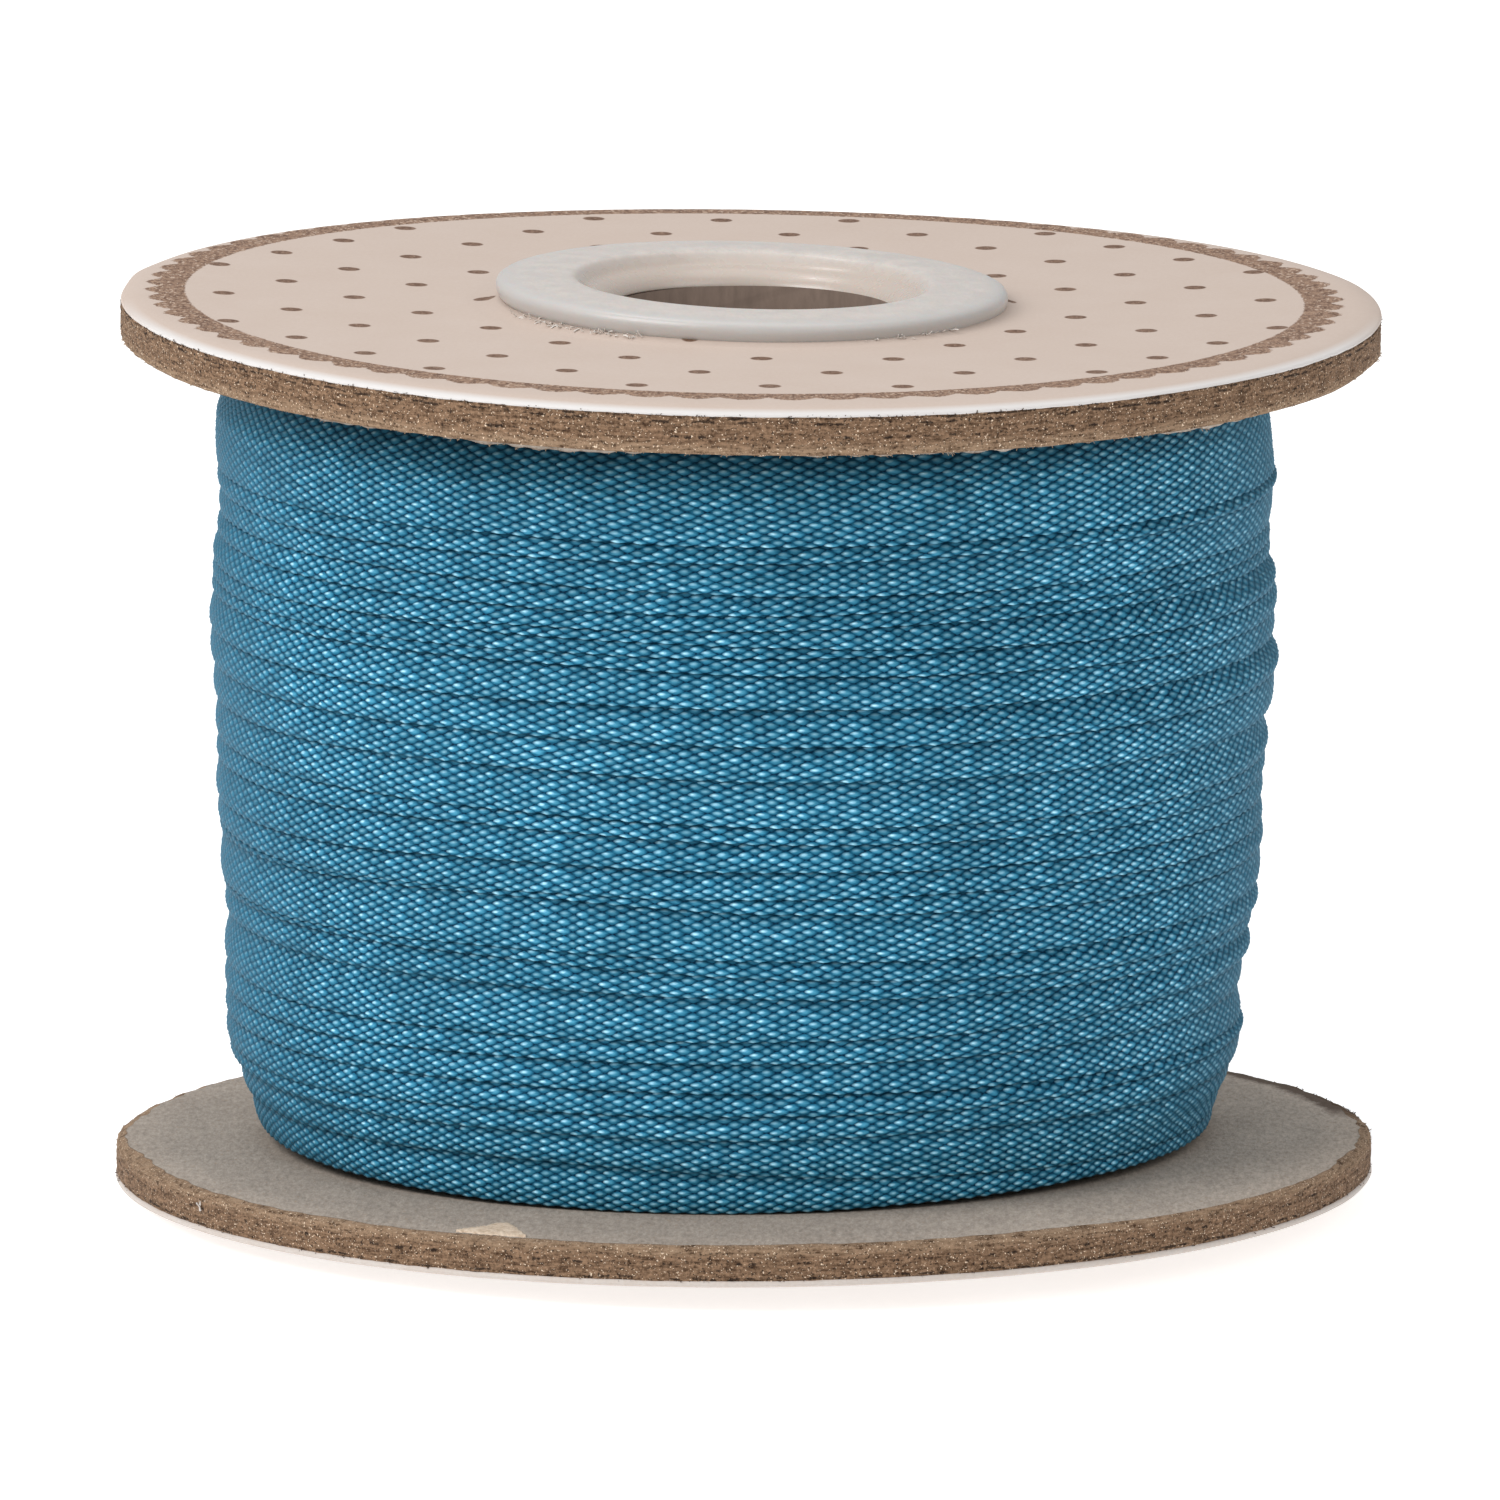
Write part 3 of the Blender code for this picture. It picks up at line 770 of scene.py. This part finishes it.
def plainPaperMaterial(look):
    material, shader, _, colour = paperStock(
        "plain cream paper", look, 0.4, look["backCream"], look["backWhite"])
    feed(shader["Base Color"], colour)
    return material


hub = dict(columns=360, steps=3, uneven=0.03 * mm, stretch=1.0, tilt=0.0)
upperHub = dict(hub, tilt=radians(0.87))
lowerHub = dict(hub, columns=120, steps=2, stretch=1.4 / 1.54)  # the spool stands on this lip
# The hub's section from its foot over the lip and down the funnel, radius and height, and
# its hidden back
hubSection = [
    (12.7, -0.45), (12.75, 0.0), (12.88, 0.2), (13.08, 0.42), (13.2, 0.72),
    (13.22, 0.98), (13.1, 1.22), (12.8, 1.38), (12.3, 1.46), (11.6, 1.51),
    (10.8, 1.53), (10.0, 1.53), (9.5, 1.51), (9.15, 1.41), (8.85, 1.15),
    (8.5, 0.86), (8.0, 0.64), (7.6, 0.36), (7.36, 0.06), (7.3, -0.12)]
hubHidden = [(8.95, -0.12), (9.1, -0.45)]


def hubMesh(spec, seed):
    # A smooth curve through the section's points, turned and made a little uneven
    angles = np.arange(spec["columns"]) * 2 * pi / spec["columns"] - pi
    points = np.array(hubSection)
    ends = np.concatenate([points[:1] * 2 - points[1:2], points, points[-1:] * 2 - points[-2:-1]])
    curve = []
    for index in range(1, len(ends) - 2):
        before, start, end, after = ends[index - 1:index + 3]
        for step in range(spec["steps"]):
            t = step / spec["steps"]
            curve.append(0.5 * (2 * start + (end - before) * t + (2 * before - 5 * start + 4 * end - after) * t ** 2
                                + (3 * start - before - 3 * end + after) * t ** 3))
    curve = np.array([*curve, points[-1], *hubHidden]) * mm
    lift = wobble(angles, seed, (2, 3, 5, 9), spec["uneven"])
    sway = wobble(angles, seed + 1, (2, 4, 7, 13), spec["uneven"])
    rows = []
    for radius, height in curve:
        share = np.clip(height / (1.4 * mm), 0.0, 0.99)
        spread = radius + sway * (radius > 10 * mm)
        rows.append(np.stack([spread * np.sin(angles), -spread * np.cos(angles),
                              height * spec["stretch"] + lift * share * (1 - share) * 4], -1))
    mesh = ringMesh("hub", np.array(rows))
    mesh.transform(Matrix.Rotation(spec["tilt"], 4, "Y"))
    return mesh


# The third colour is painted shade on the lip's outer side
hubLook = dict(shell=(0.61, 0.56, 0.522), shade=(0.53, 0.49, 0.46), funnel=(0.51, 0.435, 0.38),
               wallShade=(0.5, 0.488, 0.474), roughness=0.33, gloss=0.08)


def hubMaterial(look):
    material, tree, shader = newMaterial(
        "frosted plastic", look["roughness"], Coat_Weight=0.12, Coat_Roughness=0.3,
        Subsurface_Weight=0.15, Subsurface_Scale=0.6 * mm)
    place = objectPlace(tree)
    x, y, _ = splitVector(place)
    reach = distance(x, y)
    frost = noise(place, 1.1)
    grain = noise(mapped(place, scale=(5.0, 2.0, 5.0)), 1.0, 3.0, 0.7)
    colour = blendColour(ramp((grain - 0.5) * 0.9 + frost, 0.28, 0.72), look["shade"], look["shell"])
    # Painted shade: the lip's outer side is darker and greyer than its top
    colour = blendColour(ramp(reach, 11.9, 12.9) * 0.85, colour, look["wallShade"])
    feed(shader["Base Color"], blendColour(ramp(reach, 9.3, 8.6), colour, look["funnel"]))
    rough = frost * 0.2 + (look["roughness"] - 0.08)
    feed(shader["Roughness"], rough - ramp(reach, 9.3, 8.8) * look["gloss"])
    feed(shader["Normal"], bumped(grain * ramp(reach, 9.9, 10.6), 0.025 * mm, 0.4))
    return material


core = dict(radius=9.0 * mm, bore=7.25 * mm, inset=0.05 * mm, columns=160, rows=8)
coreLook = dict(card=(0.17, 0.125, 0.1), seam=(0.157, 0.115, 0.092), roughness=0.9, seamPitch=14.0)


def coreMesh(spec):
    angles = np.arange(spec["columns"]) * 2 * pi / spec["columns"] - pi
    bottom, top = footLift + spec["inset"], footLift + flangeSpan - spec["inset"]
    levels = np.linspace(bottom, top, spec["rows"])
    rows = [(spec["radius"], level) for level in levels] + [(spec["bore"], level) for level in levels[::-1]]
    return ringMesh("core", np.array([np.stack([
        radius * np.sin(angles), -radius * np.cos(angles), np.full_like(angles, level)], -1)
        for radius, level in rows]))


def coreMaterial(look):
    # Brown card with the joint of its wound strip running round it
    material, tree, shader = newMaterial("brown card", look["roughness"], Specular_IOR_Level=0.2)
    place = objectPlace(tree)
    x, y, z = splitVector(place)
    strip = (z / look["seamPitch"] + y.maths("ARCTAN2", x) / (2 * pi)).maths("FRACT")
    seam = ramp((strip - 0.5).maths("ABSOLUTE"), 0.02, 0.008)
    pulp = noise(mapped(place, scale=(1.0, 1.0, 0.3)), 1.6, 4.0, 0.65)
    feed(shader["Base Color"], shaded(blendColour(seam, look["card"], look["seam"]), pulp * 0.8 + 0.6))
    feed(shader["Normal"], bumped(seam * -0.2 + pulp, 0.08 * mm, 0.6))
    return material


def makeFlange(side, seat, bend, cut, sheet, bush, seed, boardCloth, paperCloth, paperSlot, plastic):
    disc = addPiece(side + "BoardDisc", boardMesh(cut, seed), boardCloth, seat)
    face = addPiece(side + "PaperFace", paperMesh(sheet, seed + 50), paperCloth, seat)
    bendMesh(disc.data, bend)
    bendMesh(face.data, bend)
    finishPiece(disc, "board", side + "_board")
    finishPiece(face, paperSlot, side + "_paper")
    finishPiece(addPiece(side + "HubLip", hubMesh(bush, seed + 70), plastic, seat), "hub_plastic", side + "_hub")


greyBoard = boardMaterial("grey board", boardLook)
frosted = hubMaterial(hubLook)
makeFlange("upper", upperSeat, bendUpper, upperCut, upperSheet, upperHub, 40, greyBoard,
           printedPaperMaterial(printedPaper, printGroup(printedPaper)), "printed_paper", frosted)
makeFlange("lower", lowerSeat, bendLower, lowerCut, lowerSheet, lowerHub, 60, greyBoard,
           plainPaperMaterial(printedPaper), "plain_paper", frosted)
finishPiece(addPiece("cardTube", coreMesh(core), coreMaterial(coreLook)), "core_card", "core_tube")
print("flanges and core made")


# Loose fibres: fuzz on the cut edges of the board, torn paper at the foot of the hub

def hairTree():
    # One bent three-sided hair on each guide point, turned along its "way" and sized by "reach"
    tree, given, result = newGroup("looseFibres", {
        "Geometry": "Geometry", "Thickness": "Float", "Curl": "Float", "Seed": "Int",
        "Material": "Material"}, {"Geometry": "Geometry"}, "GeometryNodeTree")
    line = wire(tree, "GeometryNodeCurvePrimitiveLine", {"End": (0, 0, 1)})
    fine = wire(tree, "GeometryNodeResampleCurve", {"Curve": line, "Count": 3})
    z = splitVector(wire(tree, "GeometryNodeInputPosition"))[2]
    bend = joinVector(z * z * given["Curl"])
    bent = wire(tree, "GeometryNodeSetPosition", {"Geometry": fine, "Offset": bend})
    outline = wire(tree, "GeometryNodeCurvePrimitiveCircle", {"Resolution": 3, "Radius": given["Thickness"]})
    body = wire(tree, "GeometryNodeCurveToMesh", {"Curve": bent, "Profile Curve": outline, "Fill Caps": True})
    roll = wire(tree, "FunctionNodeRandomValue", {"Max": 2 * pi, "Seed": given["Seed"]}, 1, data_type="FLOAT")
    aim = wire(tree, "FunctionNodeAlignRotationToVector", {
        "Vector": attribute(tree, "way", "FLOAT_VECTOR")}, axis="Z")
    spin = wire(tree, "FunctionNodeRotateRotation", {
        "Rotation": aim, "Rotate By": joinVector(0.0, 0.0, roll)}, rotation_space="LOCAL")
    reach = attribute(tree, "reach")
    dress(wire(tree, "GeometryNodeInstanceOnPoints", {
        "Points": given["Geometry"], "Instance": body, "Rotation": spin,
        "Scale": joinVector(reach, reach, reach)}), given, result)
    return tree


def fibreMaterial(name, colour):
    return newMaterial(name, 0.85, Base_Color=(*colour, 1.0), Specular_IOR_Level=0.2)[0]


def guideMesh(spots, ways, reaches):
    mesh = bpy.data.meshes.new("guides")
    mesh.from_pydata(spots.tolist(), [], [])
    for name, kind, field, values in (("way", "FLOAT_VECTOR", "vector", ways), ("reach", "FLOAT", "value", reaches)):
        mesh.attributes.new(name, kind, "POINT").data.foreach_set(field, values.astype(np.float32).reshape(-1))
    return mesh


# Hairs of a band stand on one flange: their number, angles, radii, heights and lengths in
# millimetres, and how far they point up. Heights of a band on the worn edge start there.
Band = namedtuple("Band", "flange onEdge count angles radii heights lengths lift")
Flange = namedtuple("Flange", "seat bend cut seed")


def edgeGuides(bands, seed):
    chance = np.random.RandomState(seed)
    spots, ways, reaches = [], [], []
    for band in bands:
        flange, count = band.flange, band.count
        turn = np.radians(chance.uniform(*band.angles, count))
        radius, height = chance.uniform(*band.radii, count), chance.uniform(*band.heights, count)
        if band.onEdge:
            height = height + (wornEdge(turn, flange.cut, flange.seed)[1] - flange.cut["depth"]) / mm
        radius = radius - (flatShare(turn, flange.cut["flats"]) / mm if band.radii[0] > 30 else 0)
        local = np.stack([radius * np.sin(turn), -radius * np.cos(turn), height], -1) * mm
        swing = turn + chance.uniform(-1.1, 1.1, count)
        way = np.stack([np.sin(swing), -np.cos(swing), band.lift + chance.uniform(-0.5, 0.5, count)], -1)
        world = np.array(flange.seat)
        local = local @ world[:3, :3].T + world[:3, 3]
        local[:, 2] += flange.bend(local[:, 0] / mm, local[:, 1] / mm) * mm
        spots.append(local)
        ways.append(way @ world[:3, :3].T)
        reaches.append(chance.uniform(*band.lengths, count) * mm)
    return guideMesh(np.concatenate(spots), np.concatenate(ways), np.concatenate(reaches))


def makeFibres(name, bands, seed, slot, material, thickness, curl, tree):
    piece = addPiece(name, edgeGuides(bands, seed), material)
    addTree(piece, tree, Thickness=thickness, Curl=curl, Seed=seed, Material=material)
    finishPiece(settle(piece), slot)


fibres = dict(
    fuzzColour=(0.38, 0.27, 0.18), darkColour=(0.07, 0.04, 0.025), paleColour=(0.74, 0.69, 0.645),
    fuzzThickness=0.1, darkThickness=0.2, paleThickness=0.12, curl=0.35)
upperFlange = Flange(upperSeat, bendUpper, upperCut, 40)
lowerFlange = Flange(lowerSeat, bendLower, lowerCut, 60)
fuzzBands = [
    Band(upperFlange, True, 1100, (-180, 180), (32.38, 32.46), (0.0, 0.12), (0.07, 0.2), -0.5),
    Band(upperFlange, False, 600, (-180, 180), (32.42, 32.5), (-1.7, -0.3), (0.05, 0.14), 0.0),
    Band(lowerFlange, True, 600, (-180, 180), (32.38, 32.46), (0.0, 0.12), (0.07, 0.2), -0.3),
    Band(lowerFlange, False, 400, (-180, 180), (32.42, 32.5), (-1.7, -0.4), (0.05, 0.14), 0.0)]
darkBands = [
    Band(upperFlange, False, 420, (-90, 90), (32.42, 32.5), (-0.28, -0.17), (0.04, 0.11), 0.3),
    Band(upperFlange, False, 220, (-75, 25), (32.42, 32.52), (-0.28, -0.12), (0.05, 0.14), 0.5),
    Band(lowerFlange, False, 250, (-180, 180), (32.44, 32.54), (-0.45, -0.3), (0.04, 0.14), 0.0),
    Band(lowerFlange, True, 520, (48, 80), (32.1, 32.45), (-0.06, 0.08), (0.06, 0.15), -0.3)]
paleBands = [
    Band(upperFlange, False, 110, (-68, -24), (12.9, 13.3), (0.25, 0.42), (0.12, 0.42), 0.25),
    Band(upperFlange, False, 40, (24, 54), (12.9, 13.3), (0.25, 0.4), (0.12, 0.4), 0.2),
    Band(lowerFlange, False, 2, (-121.4, -121.2), (32.5, 32.52), (-1.2, -1.1), (0.45, 0.5), -4.0)]
hairs = hairTree()
for name, bands, seed, slot, kind in (
        ("edgeFuzz", fuzzBands, 5, "board", "fuzz"), ("darkFuzz", darkBands, 6, "board", "dark"),
        ("tornPaper", paleBands, 7, "printed_paper", "pale")):
    makeFibres(name, bands, seed, slot, fibreMaterial(kind + " fibre", fibres[kind + "Colour"]),
               fibres[kind + "Thickness"], fibres["curl"], hairs)
print("fibres scattered")


# A torn flake of pale pulp on the lower board's inner face, near its front edge

tornFlake = dict(
    inner=[(-14.5, -28.2), (-14.1, -27.6), (-13.6, -27.25), (-13.1, -26.9), (-12.5, -26.1), (-12.0, -26.0),
           (-11.6, -27.0), (-11.3, -28.2), (-11.0, -29.6)],
    outer=[(-14.55, -28.35), (-14.15, -28.5), (-13.6, -28.75), (-13.0, -29.05), (-12.4, -29.3), (-11.95, -29.5),
           (-11.6, -29.65), (-11.3, -29.8), (-11.0, -29.85)],
    rows=8, finer=5, thickness=0.12 * mm, ragged=0.1, seed=3, colour=(0.74, 0.6, 0.47), shade=(0.55, 0.41, 0.29))


def flakeMesh(spec, bend):
    # A closed low mound between its inner and its outer line, lying on the bent board
    known = np.arange(len(spec["inner"]))
    fine = np.linspace(0, known[-1], len(known) * spec["finer"])
    chance = np.random.RandomState(spec["seed"])
    lines = [np.stack([np.interp(fine, known, line[:, 0]), np.interp(fine, known, line[:, 1])], -1)
             + chance.uniform(-1, 1, (len(fine), 2)) * spec["ragged"] * (0, 1)
             for line in (np.array(spec["inner"]), np.array(spec["outer"]))]
    points = []
    for start, end in zip(*lines):
        shares = np.linspace(0, 1, spec["rows"])
        spots = start + (end - start) * shares[:, None]
        base = footLift + board["depth"] + bend(spots[:, 0], spots[:, 1]) * mm
        mound = spec["thickness"] * (np.sqrt(4 * shares * (1 - shares)) + chance.uniform(-0.2, 0.2, len(shares)))
        top = np.column_stack([spots * mm, base + np.maximum(mound, 0.01 * mm)])
        under = np.column_stack([spots * mm, base - 0.02 * mm])
        points += [*top, *under[::-1]]
    ring, columns = 2 * spec["rows"], len(fine)
    faces = [(column * ring + row, column * ring + (row + 1) % ring, (column + 1) * ring + (row + 1) % ring,
              (column + 1) * ring + row) for column in range(columns - 1) for row in range(ring)]
    last = (columns - 1) * ring
    for row in range(spec["rows"] - 1):
        faces.append((row + 1, row, ring - 1 - row, ring - 2 - row))
        faces.append((last + row, last + row + 1, last + ring - 2 - row, last + ring - 1 - row))
    mesh = bpy.data.meshes.new("flake")
    mesh.from_pydata([tuple(point) for point in points], [], faces)
    mesh.shade_smooth()
    return mesh


def pulpMaterial(look):
    material, tree, shader = newMaterial("pale pulp", 0.9, Specular_IOR_Level=0.2)
    grain = noise(objectPlace(tree), 3.0, 3.0, 0.7)
    feed(shader["Base Color"], blendColour(ramp(grain, 0.35, 0.6), look["shade"], look["colour"]))
    feed(shader["Normal"], bumped(grain, 0.08 * mm, 0.8))
    return material


finishPiece(addPiece("tornFlake", flakeMesh(tornFlake, bendLower), pulpMaterial(tornFlake)), "board")
print("flake laid")


# The floor and the lights

studio = dict(floorColour=(0.9, 0.9, 0.9), floorGlow=0.5, worldStrength=0.5)


def makeStudio(look):
    material, tree, shader = newMaterial("pale floor", 0.9, Specular_IOR_Level=0.1)
    shader["Base Color"].default_value = (*look["floorColour"], 1)
    shader["Emission Color"].default_value = (1, 1, 1, 1)
    shader["Emission Strength"].default_value = look["floorGlow"]
    bpy.ops.mesh.primitive_plane_add(size=12)
    floor = bpy.context.object
    floor.name = "floor"
    floor.data.materials.append(material)
    world = bpy.data.worlds.new("studio")
    world.use_nodes = True
    world.node_tree.nodes["Background"].inputs["Color"].default_value = (1, 1, 1, 1)
    world.node_tree.nodes["Background"].inputs["Strength"].default_value = look["worldStrength"]
    bpy.context.scene.world = world
    bpy.context.scene.view_settings.view_transform = "Standard"


def softLight(name, azimuth, elevation, distance, size, power):
    # Azimuth 0 is the camera's side and positive is to its right
    data = bpy.data.lights.new(name, "AREA")
    data.size = size
    data.energy = power
    light = bpy.data.objects.new(name, data)
    bpy.context.scene.collection.objects.link(light)
    away = Vector((sin(azimuth) * cos(elevation), -cos(azimuth) * cos(elevation), sin(elevation)))
    target = Vector((0, 0, 0.024))
    light.matrix_world = Matrix.Translation(target + away * distance) @ (
        -away).to_track_quat("-Z", "Y").to_matrix().to_4x4()


makeStudio(studio)
softLight("key", radians(-56), radians(42), 0.6, 0.35, 2.3)
softLight("fill", radians(58), radians(38), 0.8, 0.5, 0.96)
softLight("top", radians(180), radians(80), 0.7, 0.5, 0.85)
softLight("glint", radians(-136), radians(64), 0.5, 0.07, 0.13)
print("studio lit")
